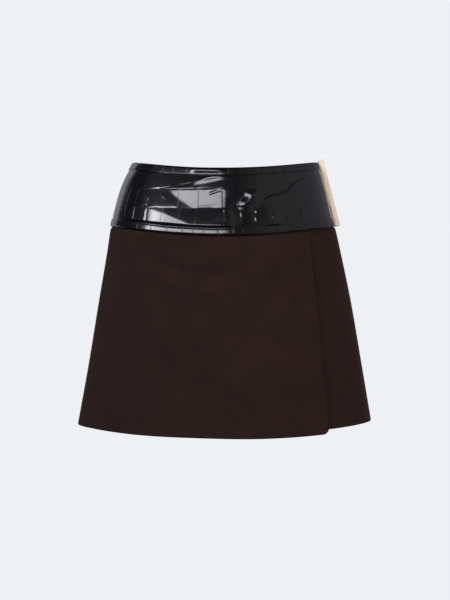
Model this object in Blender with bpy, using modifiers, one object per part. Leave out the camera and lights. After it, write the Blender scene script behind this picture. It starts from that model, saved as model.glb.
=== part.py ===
"""A short A-line wool wrap skirt with a deep leather waistband and a metal bar at the hip, filled out and hollow.

Tables and sizes are in millimetres, the scene is in metres. X runs to the wearer's left, -Y is the front, Z is up.
The origin is the middle of the waist opening where it is held, just above the waistband's top edge at the sides.
Left and right are the wearer's. A place on the skirt is an angle and a drop: the angle goes from the left side (0)
over the front (90) to the right side (180) and the back (270), and the drop is the distance below the waistline.
"""

import math
from typing import NamedTuple

import bmesh
import bpy
import numpy as np
from mathutils import Vector

MM = 0.001


class Section(NamedTuple):
    """How far the skirt's outside reaches from the middle of the waist, at one drop."""

    drop: float
    left: float
    right: float
    front: float
    back: float


class Fold(NamedTuple):
    """A soft flute that starts at a drop and is deepest at the hem; a negative swell is a hollow."""

    angle: float
    half_width: float
    starts: float
    swell: float


class Crease(NamedTuple):
    """A soft ridge along a smooth line through (angle, drop) points, or a trough where its swell is negative."""

    swell: float
    half_width: float
    points: tuple
    fade: float = 0.3


# The outside of the skirt, from the waist over the hips to the hem.
SECTIONS = [
    Section(drop=0, left=137.9, right=134.4, front=99.0, back=97.0),
    Section(drop=25, left=144.6, right=147.4, front=104.5, back=104.0),
    Section(drop=50, left=151.0, right=156.3, front=109.0, back=110.0),
    Section(drop=75, left=157.5, right=163.1, front=113.0, back=116.5),
    Section(drop=98, left=163.3, right=168.6, front=116.5, back=122.0),
    Section(drop=133, left=171.2, right=173.9, front=120.0, back=130.0),
    Section(drop=204, left=186.0, right=185.8, front=128.0, back=140.0),
    Section(drop=299, left=202.3, right=201.3, front=138.0, back=147.0),
    Section(drop=388, left=217.2, right=217.3, front=146.0, back=152.0),
]
FOLDS = [
    Fold(angle=66, half_width=17, starts=140, swell=2.2),
    Fold(angle=92, half_width=18, starts=150, swell=-2.0),
    Fold(angle=122, half_width=20, starts=120, swell=3.0),
    Fold(angle=152, half_width=15, starts=170, swell=-1.6),
    Fold(angle=222, half_width=19, starts=160, swell=3.2),
    Fold(angle=258, half_width=20, starts=180, swell=-2.4),
    Fold(angle=300, half_width=21, starts=150, swell=3.4),
]

# The wool's main creases: below the band and down the front, and similar ones on the back.
CREASES = [
    Crease(-2.2, 14, ((146, 121), (127, 144), (113, 159), (101, 167), (89, 165), (76, 155))),
    Crease(1.9, 14, ((142, 141), (120, 174), (105, 192), (94, 193), (82, 180))),
    Crease(3.0, 24, ((146, 140), (131, 190), (119, 244), (107, 305))),
    Crease(-3.0, 27, ((55, 136), (66, 188), (76, 246), (86, 312))),
    Crease(1.6, 22, ((75, 268), (68, 318), (62, 372)), 0.4),
    Crease(-2.0, 14, ((215, 132), (236, 152), (256, 163), (275, 161), (292, 150))),
    Crease(1.5, 14, ((221, 152), (243, 178), (262, 189), (281, 184))),
    Crease(2.6, 24, ((212, 150), (228, 206), (240, 262), (247, 318))),
    Crease(-2.5, 26, ((326, 142), (313, 200), (300, 262), (294, 322))),
]
HIP_DROP = 220
CREASE_STEPS = 18

# Cloth and leather.
WOOL = 2.0
LEATHER = 1.6
BINDING = 1.1
SEAM_GAP = 0.3
LAYER_GAP = 0.6

# Edges: the drop at the sides, and how much lower the edge runs at mid front and mid back.
BAND_TOP, BAND_TOP_FRONT, BAND_TOP_BACK = 3.0, 14.3, 2.0
BAND_FOOT, BAND_FOOT_FRONT, BAND_FOOT_BACK = 94.0, 18.0, 4.0
WRAP_HEM, WRAP_HEM_FRONT, WRAP_HEM_DROOP = 387.1, 10.8, 1.5
UNDERLAP_HEM, UNDERLAP_HEM_FRONT = 381.5, 12.0
WRAP_DROOP_ANGLES = (75, 105)
BACK_HEM_LOWER = 2.0

# Where the panels end round the skirt.
LEFT_SEAM, RIGHT_SEAM = -4.0, 184.0
WRAP_EDGE_X, WRAP_EDGE_DROP = 121.6, 106.0
WRAP_EDGE_SLANT, WRAP_EDGE_BOW = 0.062, 0.00007
WRAP_EDGE_STAND, WRAP_EDGE_STAND_WIDTH, WRAP_EDGE_FREE = 4.4, 46.0, 270.0
UNDERLAP_HIDDEN = 112.0

# The wrap rises over the underlap's hidden edge, and the underlap sinks under the wrap's free edge, over these spans.
LAYER_LIFT = (WOOL + LAYER_GAP) / 2
RISE_FROM, RISE_TO = -45.0, -5.0
SINK_FROM, SINK_TO = 3.0, 36.0

# The wool's top edge is tucked up behind the waistband and pressed in by it.
TUCK_UP = 10.0
TUCK_IN = LEATHER + SEAM_GAP
TUCK_STEPS = (-TUCK_UP, -4.0, 1.0, 2.8, 5.5)

# The strips that bind the waistband's two edges.
BINDING_WIDTH = 9.5
BINDING_PUFF = 0.5
BINDING_TURN = 0.3
BINDING_SHARP = 40

# The metal bar over the band's closing seam at the left hip.
BAR_LENGTH, BAR_WIDTH, BAR_THICK = 101.0, 12.0, 7.4
BAR_RISE = 1.7
BAR_GAP = 0.6
BAR_EDGE = 0.7

WRAP_COLUMNS, UNDERLAP_COLUMNS, BACK_COLUMNS = 42, 26, 42
BAND_STEP = 4.0
BAND_ROWS = 6
WOOL_ROWS = 16

WOOL_FINISH = {"colour": (0.022, 0.012, 0.011), "roughness": 0.9, "metallic": 0.0}
LEATHER_FINISH = {"colour": (0.008, 0.008, 0.009), "roughness": 0.18, "metallic": 0.0}
METAL_FINISH = {"colour": (0.66, 0.53, 0.42), "roughness": 0.35, "metallic": 1.0}


def smooth_step(low, high, value):
    """0 up to low, 1 from high on, and an even S between them."""
    share = min(1.0, max(0.0, (value - low) / (high - low)))
    return share * share * (3 - 2 * share)


def section_at(drop):
    """The section at any drop, on a smooth curve through the table's rows, which runs straight on past its ends."""
    rows = SECTIONS
    i = max(0, min(len(rows) - 2, sum(row.drop <= drop for row in rows) - 1))
    low, high = rows[i], rows[i + 1]
    span = high.drop - low.drop
    share = (drop - low.drop) / span

    def slope(k, column):
        before, after = rows[max(0, k - 1)], rows[min(len(rows) - 1, k + 1)]
        return (after[column] - before[column]) / (after.drop - before.drop)

    def reach(column):
        start, end = slope(i, column), slope(i + 1, column)
        if share < 0:
            return low[column] + start * (drop - low.drop)
        if share > 1:
            return high[column] + end * (drop - high.drop)
        near = (1 + 2 * share) * (1 - share) ** 2 * low[column] + share**2 * (3 - 2 * share) * high[column]
        return near + span * (share * (1 - share) ** 2 * start - share**2 * (1 - share) * end)

    return Section(drop, *(reach(column) for column in range(1, 5)))


def fold_swell(angle, drop):
    """How far the flutes push the cloth out at this place."""
    total = 0.0
    for fold in FOLDS:
        away = abs((angle - fold.angle + 180) % 360 - 180) / fold.half_width
        if away < 1 and drop > fold.starts:
            across = (1 + math.cos(math.pi * away)) / 2
            total += fold.swell * across * smooth_step(fold.starts, SECTIONS[-1].drop, drop)
    return total


def swollen(angle, drop, swell):
    """A point this far outside the section's plain outline."""
    section = section_at(drop)
    across, forward = math.cos(math.radians(angle)), math.sin(math.radians(angle))
    wide = section.left if across > 0 else section.right
    deep = section.front if forward > 0 else section.back
    return Vector(((wide + swell) * across, -(deep + swell) * forward, -drop))


def hip_lengths():
    """Angles all round and beyond, and how far round the skirt they are at the hip, from the left side."""
    angles = np.arange(-90, 451)
    points = [swollen(float(angle), HIP_DROP, 0) for angle in angles]
    steps = [(following - point).length for point, following in zip(points, points[1:])]
    lengths = np.concatenate([[0], np.cumsum(steps)])
    return angles, lengths - np.interp(0, angles, lengths)


HIP = hip_lengths()


def crease_line(crease):
    """A crease's smooth line as (length round the hip, drop) points."""
    knots = np.array([(np.interp(angle, *HIP), drop) for angle, drop in crease.points])
    knots = np.vstack([2 * knots[0] - knots[1], knots, 2 * knots[-1] - knots[-2]])
    places = np.linspace(0, len(knots) - 3, CREASE_STEPS + 1)
    i = np.minimum(places.astype(int), len(knots) - 4)
    t = (places - i)[:, None]
    a, b, c, d = knots[i], knots[i + 1], knots[i + 2], knots[i + 3]
    return 0.5 * (2 * b + (c - a) * t + (2 * a - 5 * b + 4 * c - d) * t**2 + (3 * b - a - 3 * c + d) * t**3)


CREASE_LINES = [(crease, crease_line(crease)) for crease in CREASES]


def crease_swell(angle, drop):
    """How far the creases push the cloth out at this place."""
    place = np.array([np.interp(angle, *HIP), drop])
    total = 0.0
    for crease, line in CREASE_LINES:
        low, high = line.min(axis=0) - crease.half_width, line.max(axis=0) + crease.half_width
        if (place < low).any() or (place > high).any():
            continue
        start, step = line[:-1], np.diff(line, axis=0)
        along = np.clip(((place - start) * step).sum(axis=1) / (step**2).sum(axis=1), 0, 1)
        away = np.linalg.norm(place - start - along[:, None] * step, axis=1)
        nearest = int(away.argmin())
        share = (nearest + along[nearest]) / CREASE_STEPS
        across = (1 + math.cos(math.pi * min(1.0, away[nearest] / crease.half_width))) / 2
        ends = smooth_step(0, crease.fade, share) * (1 - smooth_step(1 - crease.fade, 1, share))
        total += crease.swell * across * ends
    return total


def outside(angle, drop):
    """A point of the skirt's outside, in metres."""
    return swollen(angle, drop, fold_swell(angle, drop) + crease_swell(angle, drop)) * MM


def out_of(angle, drop):
    """The direction straight out of the cloth."""
    round_it = outside(angle + 0.5, drop) - outside(angle - 0.5, drop)
    down_it = outside(angle, drop + 1) - outside(angle, drop - 1)
    return round_it.cross(down_it).normalized()


def layer_point(angle, drop, out):
    """A point out millimetres outside the skirt's outside, or inside it where out is negative."""
    return outside(angle, drop) + out_of(angle, drop) * out * MM


def edge_drop(angle, at_side, lower_front, lower_back):
    """The drop of an edge that runs level at the sides and lower at mid front and mid back."""
    forward = math.sin(math.radians(angle))
    return at_side + (lower_front if forward > 0 else lower_back) * forward**2


def band_top(angle):
    return edge_drop(angle, BAND_TOP, BAND_TOP_FRONT, BAND_TOP_BACK)


def band_foot(angle):
    return edge_drop(angle, BAND_FOOT, BAND_FOOT_FRONT, BAND_FOOT_BACK)


def wrap_hem(angle):
    """The wrap's hem droops a little on its free half."""
    droop = WRAP_HEM_DROOP * (1 - smooth_step(*WRAP_DROOP_ANGLES, angle))
    return edge_drop(angle, WRAP_HEM, WRAP_HEM_FRONT, 0) + droop


def underlap_hem(angle):
    return edge_drop(angle, UNDERLAP_HEM, UNDERLAP_HEM_FRONT, 0)


def back_hem(angle):
    """The back's hem joins the wrap's at the right seam and the underlap's at the left one."""
    to_left = (1 + math.cos(math.radians(angle))) / 2
    return edge_drop(angle, WRAP_HEM + (UNDERLAP_HEM - WRAP_HEM) * to_left, 0, BACK_HEM_LOWER)


def wrap_edge_x(drop):
    """How far left the wrap's free edge is, at one drop."""
    below = drop - WRAP_EDGE_DROP
    return WRAP_EDGE_X + WRAP_EDGE_SLANT * below + WRAP_EDGE_BOW * below * abs(below)


def front_angle_at(x, drop):
    """The angle at which the front reaches this far left."""
    return math.degrees(math.acos(x / section_at(drop).left))


def lap_in(angle, drop):
    """1 over the underlap and 0 well before its hidden edge, for what lies outside it."""
    past_hidden = outside(angle, drop).x / MM - (wrap_edge_x(drop) - UNDERLAP_HIDDEN)
    return smooth_step(RISE_FROM, RISE_TO, past_hidden)


def lap_out(angle, drop):
    """1 under the wrap and 0 at the left side, for what passes the wrap's free edge."""
    past_edge = outside(angle, drop).x / MM - wrap_edge_x(drop)
    return 1 - smooth_step(SINK_FROM, SINK_TO, past_edge)


def tuck(angle, drop):
    """How far the waistband presses the wool in: fully behind the band, and not at all a little below it."""
    below = drop - band_foot(angle)
    return -TUCK_IN * (1 - smooth_step(TUCK_STEPS[2], TUCK_STEPS[4], below))


def wrap_out(angle, drop):
    """The wrap's outer face lies over the underlap, and its free edge stands off a little towards the hem."""
    short_of_edge = wrap_edge_x(drop) - outside(angle, drop).x / MM
    near_edge = max(0.0, 1 - short_of_edge / WRAP_EDGE_STAND_WIDTH) ** 2
    stand = WRAP_EDGE_STAND * near_edge * smooth_step(WRAP_EDGE_DROP, WRAP_EDGE_FREE, drop)
    return LAYER_LIFT * lap_in(angle, drop) + tuck(angle, drop) + stand


def underlap_out(angle, drop):
    return -LAYER_LIFT * lap_out(angle, drop) + tuck(angle, drop)


def band_out(angle, drop):
    if math.sin(math.radians(angle)) <= 0:
        return 0.0
    return LAYER_LIFT * lap_in(angle, drop) * lap_out(angle, drop)


def side_angle(gap, drop):
    """The angle that a gap spans round the skirt at one of its sides."""
    return math.degrees(gap / section_at(drop).back)


def finish(name, colour, roughness, metallic):
    """A plain material of one colour."""
    material = bpy.data.materials.new(name)
    material.use_nodes = True
    shader = material.node_tree.nodes["Principled BSDF"]
    shader.inputs["Base Color"].default_value = (*colour, 1)
    shader.inputs["Roughness"].default_value = roughness
    shader.inputs["Metallic"].default_value = metallic
    return material


def add_object(name, mesh, material, parent, collection):
    mesh.materials.append(material)
    obj = bpy.data.objects.new(name, mesh)
    collection.objects.link(obj)
    obj.parent = parent
    return obj


def cloth_wall(name, columns, rows, place, thickness):
    """A mesh object's data and its thickness: a flat grid laid on the form by place(column share, row number)."""
    mesh = bpy.data.meshes.new(name)
    grid = bmesh.new()
    bmesh.ops.create_grid(grid, x_segments=columns, y_segments=rows, size=0.5)
    for vert in grid.verts:
        vert.co = place(vert.co.x + 0.5, round((vert.co.y + 0.5) * rows))
    grid.to_mesh(mesh)
    grid.free()
    mesh.shade_smooth()
    return mesh, thickness


def add_wall(wall, material, parent, collection):
    """Thickens a wall inwards and adds it to the skirt."""
    mesh, thickness = wall
    obj = add_object(mesh.name, mesh, material, parent, collection)
    solid = obj.modifiers.new("cloth thickness", "SOLIDIFY")
    solid.thickness = thickness * MM
    solid.offset = -1
    solid.use_even_offset = True
    return obj


def wool_drops(angle, hem):
    """The drops of a wool panel's rows: close together behind the band's foot, then even to the hem."""
    foot = band_foot(angle)
    top_rows = [foot + step for step in TUCK_STEPS]
    last = top_rows[-1]
    return top_rows + [last + (hem(angle) - last) * (i + 1) / WOOL_ROWS for i in range(WOOL_ROWS)]


def wool_panel(name, columns, start, end, hem, out):
    """A wool panel between two edges, each an angle for a drop."""

    def place(share, row):
        middle = start(0) + (end(0) - start(0)) * share
        drop = wool_drops(middle, hem)[row]
        angle = start(drop) + (end(drop) - start(drop)) * share
        drop = wool_drops(angle, hem)[row]
        return layer_point(angle, drop, out(angle, drop))

    return cloth_wall(name, columns, len(TUCK_STEPS) - 1 + WOOL_ROWS, place, WOOL)


def band_panel(name, start, end):
    """A length of the leather waistband."""

    def place(share, row):
        angle = start + (end - start) * share
        drop = band_top(angle) + (band_foot(angle) - band_top(angle)) * row / BAND_ROWS
        return layer_point(angle, drop, band_out(angle, drop))

    return cloth_wall(name, round((end - start) / BAND_STEP), BAND_ROWS, place, LEATHER)


def top_binding_profile():
    """The strip folded over the band's top edge, as (up from the edge, out from the band's face) points."""
    width, fold, gap = BINDING_WIDTH, SEAM_GAP + BINDING, SEAM_GAP
    inner = -(LEATHER + fold)
    return [
        (-width, gap),
        (-width, fold),
        (-width * 0.5, fold + BINDING_PUFF),
        (-BINDING_TURN, fold),
        (fold, gap),
        (fold, -LEATHER - gap),
        (-BINDING_TURN, inner),
        (-width, inner),
        (-width, -LEATHER - gap),
        (gap, -LEATHER - gap),
        (gap, gap),
    ]


def foot_binding_profile():
    """The strip turned under the band's foot, as (up from the edge, out from the band's face) points."""
    width, fold, gap = BINDING_WIDTH, SEAM_GAP + BINDING, SEAM_GAP
    return [
        (width, fold),
        (width, gap),
        (-gap, gap),
        (-gap, -LEATHER),
        (-fold, -LEATHER),
        (-fold, gap),
        (BINDING_TURN, fold),
        (width * 0.5, fold + BINDING_PUFF),
    ]


def binding(name, profile, edge, start, end):
    """A strip swept along an edge of the waistband, as a loft between its cross-sections, closed at its ends."""
    sections = round((end - start) / BAND_STEP)
    mesh = bpy.data.meshes.new(name)
    strip = bmesh.new()
    rings = []
    for i in range(sections + 1):
        angle = start + (end - start) * i / sections
        edge_at = edge(angle)
        drops = [(edge_at - up, out) for up, out in profile]
        points = [layer_point(angle, drop, out + band_out(angle, drop)) for drop, out in drops]
        rings.append([strip.verts.new(point) for point in points])
    for ring, following in zip(rings, rings[1:]):
        for i in range(len(profile)):
            j = (i + 1) % len(profile)
            strip.faces.new((ring[i], ring[j], following[j], following[i]))
    strip.faces.new(rings[0])
    strip.faces.new(reversed(rings[-1]))
    bmesh.ops.recalc_face_normals(strip, faces=strip.faces)
    strip.to_mesh(mesh)
    strip.free()
    mesh.shade_smooth()
    mesh.set_sharp_from_angle(angle=math.radians(BINDING_SHARP))
    return mesh


def side_bar(name):
    """The straight metal bar, standing along the band at the left side with its back just off the leather."""
    cube = bmesh.new()
    bmesh.ops.create_cube(cube, size=1)
    bmesh.ops.scale(cube, vec=Vector((BAR_THICK, BAR_WIDTH, BAR_LENGTH)) * MM, verts=cube.verts)
    mesh = bpy.data.meshes.new(name)
    cube.to_mesh(mesh)
    cube.free()
    return mesh


def place_side_bar(obj):
    """Leans the bar along the band's side line and bevels its edges."""
    top, foot = outside(0, 0), outside(0, BAND_FOOT)
    down = (foot - top).normalized()
    out = Vector((-down.z, 0, down.x))
    from_top = (BAR_LENGTH / 2 - BAR_RISE) * MM
    from_face = (BAR_THICK / 2 + BAR_GAP) * MM
    obj.location = top + down * from_top + out * from_face
    obj.rotation_euler = (0, math.atan2(-down.x, -down.z), 0)
    bevel = obj.modifiers.new("soft edges", "BEVEL")
    bevel.width = BAR_EDGE * MM
    bevel.segments = 2


def build():
    for obj in list(bpy.data.objects):
        bpy.data.objects.remove(obj)
    skirt = bpy.data.collections.new("wrap_skirt")
    bpy.context.scene.collection.children.link(skirt)
    waist = bpy.data.objects.new("waist", None)
    skirt.objects.link(waist)
    wool = finish("brown wool", **WOOL_FINISH)
    leather = finish("black leather", **LEATHER_FINISH)
    metal = finish("pale gold metal", **METAL_FINISH)

    half_seam = side_angle(SEAM_GAP / 2, BAND_FOOT)
    wrap = wool_panel(
        "front_wrap_panel",
        WRAP_COLUMNS,
        lambda drop: front_angle_at(wrap_edge_x(drop), drop),
        lambda drop: RIGHT_SEAM - half_seam,
        wrap_hem,
        wrap_out,
    )
    underlap = wool_panel(
        "front_underlap_panel",
        UNDERLAP_COLUMNS,
        lambda drop: LEFT_SEAM + half_seam,
        lambda drop: front_angle_at(wrap_edge_x(drop) - UNDERLAP_HIDDEN, drop),
        underlap_hem,
        underlap_out,
    )
    back = wool_panel(
        "back_panel",
        BACK_COLUMNS,
        lambda drop: RIGHT_SEAM + half_seam,
        lambda drop: 360 + LEFT_SEAM - half_seam,
        back_hem,
        tuck,
    )
    for wall in (wrap, underlap, back):
        add_wall(wall, wool, waist, skirt)

    band_front = band_panel("waistband_front", half_seam, RIGHT_SEAM - half_seam)
    band_back = band_panel("waistband_back", RIGHT_SEAM + half_seam, 360 - half_seam)
    for wall in (band_front, band_back):
        add_wall(wall, leather, waist, skirt)

    bar_side = side_angle(BAR_WIDTH / 2 + 2 * SEAM_GAP, BAND_TOP)
    for name, profile, edge in (
        ("binding_top", top_binding_profile(), band_top),
        ("binding_foot", foot_binding_profile(), band_foot),
    ):
        add_object(name, binding(name, profile, edge, bar_side, 360 - bar_side), leather, waist, skirt)

    bar = add_object("side_bar", side_bar("side_bar"), metal, waist, skirt)
    place_side_bar(bar)


build()
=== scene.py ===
"""The looks of a short wool wrap skirt with a deep embossed leather waistband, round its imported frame.

Sizes are in millimetres and turn into metres where a mesh, light or camera is made. As in the solids, a place
on the skirt is an angle and a drop: the angle goes from the wearer's left side (0) over the front (90) to the
right side (180) and the back (270), and the drop is the distance below the waistline. X is the wearer's left,
and -Y the front.
"""

import math
from typing import NamedTuple

import bpy
import numpy as np
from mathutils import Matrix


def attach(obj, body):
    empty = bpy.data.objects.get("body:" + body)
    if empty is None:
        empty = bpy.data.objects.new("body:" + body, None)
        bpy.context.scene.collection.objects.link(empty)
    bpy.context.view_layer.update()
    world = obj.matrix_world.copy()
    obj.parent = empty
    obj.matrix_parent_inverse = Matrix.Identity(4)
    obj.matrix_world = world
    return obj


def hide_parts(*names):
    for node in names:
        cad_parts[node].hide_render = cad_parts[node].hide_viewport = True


MM = 0.001
SEED = 7


class Section(NamedTuple):
    """How far the skirt's outside reaches from the middle of the waist, at one drop."""

    drop: float
    left: float
    right: float
    front: float
    back: float


class Fold(NamedTuple):
    """A soft flute that starts at a drop and is deepest at the hem; a negative swell is a hollow."""

    angle: float
    half_width: float
    starts: float
    swell: float


class Crease(NamedTuple):
    """A soft ridge along a smooth line through (angle, drop) points; a negative swell makes it a trough."""

    swell: float
    half_width: float
    points: tuple
    fade: float = 0.3


# The form, as in the solids.
SECTIONS = [
    Section(0, 137.9, 134.4, 99, 97),
    Section(25, 144.6, 147.4, 104.5, 104),
    Section(50, 151, 156.3, 109, 110),
    Section(75, 157.5, 163.1, 113, 116.5),
    Section(98, 163.3, 168.6, 116.5, 122),
    Section(133, 171.2, 173.9, 120, 130),
    Section(204, 186, 185.8, 128, 140),
    Section(299, 202.3, 201.3, 138, 147),
    Section(388, 217.2, 217.3, 146, 152),
]
FOLDS = [
    Fold(66, 17, 140, 2.2),
    Fold(92, 18, 150, -2),
    Fold(122, 20, 120, 3),
    Fold(152, 15, 170, -1.6),
    Fold(222, 19, 160, 3.2),
    Fold(258, 20, 180, -2.4),
    Fold(300, 21, 150, 3.4),
]

# The cloth's main creases: below the band and down the front, and similar ones on the back.
WOOL_CREASES = [
    Crease(-2.2, 14, ((146, 121), (127, 144), (113, 159), (101, 167), (89, 165), (76, 155))),
    Crease(1.9, 14, ((142, 141), (120, 174), (105, 192), (94, 193), (82, 180))),
    Crease(3, 24, ((146, 140), (131, 190), (119, 244), (107, 305))),
    Crease(-3, 27, ((55, 136), (66, 188), (76, 246), (86, 312))),
    Crease(1.6, 22, ((75, 268), (68, 318), (62, 372)), 0.4),
    Crease(-2, 14, ((215, 132), (236, 152), (256, 163), (275, 161), (292, 150))),
    Crease(1.5, 14, ((221, 152), (243, 178), (262, 189), (281, 184))),
    Crease(2.6, 24, ((212, 150), (228, 206), (240, 262), (247, 318))),
    Crease(-2.5, 26, ((326, 142), (313, 200), (300, 262), (294, 322))),
]

# Cloth and leather.
WOOL = 2.0
LEATHER = 1.6
BINDING = 1.1
SEAM_GAP = 0.3
LAYER_GAP = 0.6

# Edges: the drop at the sides, and how much lower the edge runs at mid front and mid back.
BAND_TOP, BAND_TOP_FRONT, BAND_TOP_BACK = 3.0, 14.3, 2.0
BAND_FOOT, BAND_FOOT_FRONT, BAND_FOOT_BACK = 94.0, 18.0, 4.0
WRAP_HEM, WRAP_HEM_FRONT, WRAP_HEM_DROOP = 387.1, 10.8, 1.5
UNDERLAP_HEM, UNDERLAP_HEM_FRONT = 381.5, 12.0
WRAP_DROOP_ANGLES = (75, 105)
BACK_HEM_LOWER = 2.0

# Where the panels end round the skirt: the side seams and their half gap in degrees, and the wrap's free edge
# by how far left it is. Its lower corner is rounded, from this share of its length on.
LEFT_SEAM, RIGHT_SEAM = -4.0, 184.0
HALF_SEAM = 0.004
WRAP_EDGE_X, WRAP_EDGE_DROP = 121.6, 106.0
WRAP_EDGE_SLANT, WRAP_EDGE_BOW = 0.062, 0.00007
WRAP_EDGE_STAND, WRAP_EDGE_STAND_WIDTH, WRAP_EDGE_FREE = 4.4, 46.0, 270.0
WRAP_CORNER, WRAP_CORNER_FROM = 7.0, 0.7
UNDERLAP_HIDDEN = 112.0

# The wrap rises over the underlap's hidden edge, and the underlap sinks under the wrap's free edge, over
# these spans.
LAYER_LIFT = (WOOL + LAYER_GAP) / 2
RISE_FROM, RISE_TO = -45.0, -5.0
SINK_FROM, SINK_TO = 3.0, 36.0

# The wool's top edge is tucked up behind the waistband and pressed in by it.
TUCK_UP = 10.0
TUCK_IN = LEATHER + SEAM_GAP
TUCK_FROM, TUCK_TO = 1.0, 5.5

# The rounded edges of the wool and of the leather's ends: places across them, as shares of their radius, and
# how much of the wall's half thickness they turn in.
EDGE_PLACES, EDGE_TURN = (0, 0.08, 0.3, 0.62, 1.0), 0.96
LEATHER_EDGE = 1.2

# The strips that bind the waistband's two edges and end this many degrees from the bar, and their stitches.
# What lies within STRIP_FIXED of the edge doesn't wander.
BINDING_WIDTH = 9.5
BINDING_FACE = SEAM_GAP + BINDING
BINDING_ENDS = 3.9
STRIP_STEP, STRIP_FIXED = 1.5, 2.0
STRIP_GROOVES, STRIP_GROOVE_FIRST = (14.0, 24.0), 6.0
STRIP_GROOVE_DEPTH, STRIP_GROOVE_WIDTH = 0.18, 0.9
STITCH_PITCH, STITCH_LENGTH, STITCH_THICK = 3.0, 2.3, 0.5
STITCH_FROM_EDGE = 1.3
STITCH_RINGS = ((-0.5, 0.25), (-0.36, 0.85), (0.0, 1.0), (0.36, 0.85), (0.5, 0.25))
STITCH_SIDES, STITCH_SINK, STITCH_LEVEL = 6, 0.3, 0.95

# How far each strip swells between its stitches and its fold, as (angle, share of its profile) pairs, and how
# high its face then stands over its edge, as (share of its width from the fold, height) pairs.
TOP_FULLNESS = (
    (0, 0.1), (90, 0.1), (93.5, 0.9), (106.5, 1.1), (110, 0.1),
    (200, 0.1), (235, 1.0), (275, 1.0), (320, 0.1), (360, 0.1),
)
FOOT_FULLNESS = (
    (0, 0.5), (60, 0.6), (88, 1.1), (110, 1.2), (135, 0.9),
    (160, 0.5), (235, 1.0), (300, 0.8), (360, 0.5),
)
TOP_FACE = (
    (0.1, 0.45), (0.2, 0.85), (0.29, 1.06), (0.36, 1.1), (0.43, 1.02),
    (0.5, 0.87), (0.6, 0.65), (0.7, 0.43), (0.8, 0.22), (0.93, 0.0),
)
FOOT_FACE = (
    (0.02, 0.3), (0.06, 0.42), (0.12, 0.48), (0.25, 0.5), (0.4, 0.49),
    (0.55, 0.45), (0.68, 0.36), (0.78, 0.22), (0.86, 0.05), (0.93, 0.0),
)

# How uneven the lines made by hand are, as (distance between bends, size) pairs, and how clear grooves are.
ROW_WANDER, ROW_JITTER = (11, 0.9), (3.5, 0.2)
ROW_CLEAR, ROW_FADE = 0.8, (17, 0.6)
LINE_LEAN, LINE_WANDER = 0.05, (6, 0.35)
LINE_CLEAR, LINE_FADE = (0.5, 1.0), (7, 0.5)
STRIP_WANDER, STRIP_SWELL, STRIP_JITTER = (31, 0.3), (19, 0.12), (6, 0.06)

# The leather's embossed scales. The lines between its rows have a drop at the sides, and how much lower they
# run at mid front and mid back. The lines across each row have an angle.
ROW_LINES = ((43.5, 3.3, 1.0), (71.0, 3.0, 1.5))
SCALE_LINES = (
    (156, 148, 137, 126.5, 116, 106, 97.5, 85.6, 75.7, 65, 54.6, 42.2, 30),
    (155, 149, 143, 134.8, 114.4, 103.4, 90.9, 82.2, 74.7, 66, 56.3, 46.6, 36.7, 27),
    (165, 155, 150.3, 144.4, 139.4, 132.1, 122.4, 113.1, 104.5, 90.8, 82.7, 75.5, 66.3, 57.6, 48, 39, 28),
)
SCALE_WIDTHS = (16.0, 26.0)
GROOVE_DEPTH, GROOVE_WIDTH = 0.22, 0.6
SCALE_DOME, SCALE_SHOULDER = 0.09, 2.0
SCALE_TILT = 0.012
ROWS_PAST_SEAM = 6.0


class Relief(NamedTuple):
    """How clearly the embossing shows at one angle: the lines between rows, and the lines across each row."""

    angle: float
    between: float
    upper: float
    middle: float
    lower: float


RELIEFS = [
    Relief(0, 0.15, 0.15, 0.2, 0.3),
    Relief(30, 0.12, 0.12, 0.2, 0.35),
    Relief(55, 0.12, 0.12, 0.25, 0.9),
    Relief(75, 0.25, 0.25, 0.8, 0.8),
    Relief(95, 0.5, 0.4, 0.8, 0.6),
    Relief(135, 0.6, 0.5, 0.8, 0.85),
    Relief(165, 0.5, 0.4, 0.5, 0.6),
    Relief(220, 0.6, 0.5, 0.8, 0.8),
    Relief(300, 0.6, 0.5, 0.7, 0.8),
    Relief(360, 0.15, 0.15, 0.2, 0.3),
]
# How grainy the leather is at each angle: finely creased where the band turns to the wearer's right side.
GRAINS = (
    (0, 0.15), (60, 0), (126, 0), (140, 0.3), (150, 0.1),
    (159, 0.15), (166, 1), (190, 1), (230, 0.3), (360, 0.15),
)
# The leather's mesh: the depth of the band that it is worked out for, its step, and how many of its steps
# make one on its inner side.
BAND_DEPTH = 100
LEATHER_STEP = 0.75
LEATHER_LINING_STEP = 5


class Buckle(NamedTuple):
    """The slopes, in degrees, of the waistband's leather over its plain form at one angle, each going down.

    top is the upper row's. middle is the middle row's, which turns to roll from this share of the row.
    lower is the lower row's, which turns over near this share of the row.
    """

    angle: float
    top: float
    middle: float
    roll_from: float
    roll: float
    lower: float
    lower_to: float


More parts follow.
